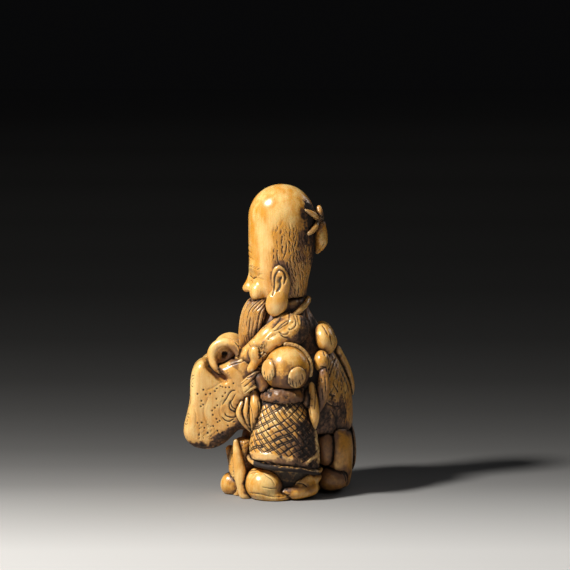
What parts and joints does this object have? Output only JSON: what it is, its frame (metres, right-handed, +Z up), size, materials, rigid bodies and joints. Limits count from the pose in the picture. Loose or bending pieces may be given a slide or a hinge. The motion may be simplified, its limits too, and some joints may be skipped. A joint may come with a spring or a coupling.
{
  "type": "ivory netsuke",
  "caption": "Standing carved ivory toggle of a bearded old man with a tall domed head in flowing robes, with a small boy holding on beside his hanging sleeve.",
  "frame": {"origin": "middle of the footprint, on the surface that the carving stands on", "axes": "+Z up, +X the old man's left, where the boy is, +Y the old man's back"},
  "size_m": [0.0258, 0.0362, 0.0647],
  "materials": {
    "ivory": "polished old ivory, amber in places, dark stain in the cuts",
    "stained_ivory": "ivory stained dark brown, with the raised lines worn light"
  },
  "bodies": {
    "root": {"beard": "stained_ivory", "bow_far_loop": "ivory", "bow_far_tail": "ivory", "bow_knot": "ivory", "bow_long_tail": "ivory", "bow_lower_loop": "ivory", "bow_short_tail": "ivory", "bow_upper_loop": "ivory", "boy_collar": "stained_ivory", "boy_far_arm": "ivory", "boy_far_foot": "ivory", "boy_hair_band": "ivory", "boy_head": "ivory", "boy_near_arm": "ivory", "boy_near_foot": "ivory", "boy_near_hand": "ivory", "boy_robe": "ivory", "boy_robe_hem": "ivory", "boy_tuft_front": "ivory", "boy_tuft_rear": "ivory", "front_shoe": "ivory", "left_arm": "ivory", "left_cuff": "ivory", "left_ear": "ivory", "left_hand": "ivory", "left_moustache": "ivory", "left_sleeve": "ivory", "neckband": "ivory", "old_man_head": "ivory", "rear_drape": "ivory", "rear_panel": "ivory", "rear_shoe": "ivory", "rear_trouser": "stained_ivory", "ribbon_cord_lower_left": "ivory", "ribbon_cord_lower_right": "ivory", "ribbon_cord_upper_left": "ivory", "ribbon_cord_upper_right": "ivory", "ribbon_flap": "ivory", "ribbon_knot": "ivory", "right_arm": "ivory", "right_cuff": "ivory", "right_ear": "ivory", "right_moustache": "ivory", "right_sleeve": "ivory", "robe": "stained_ivory", "skirt_front_band": "stained_ivory", "skirt_front_edge": "ivory", "skirt_ruffle": "stained_ivory", "sleeve_fold_front": "ivory", "sleeve_fold_middle": "ivory", "sleeve_fold_rear": "ivory", "underskirt": "stained_ivory"}
  },
  "joints": []
}
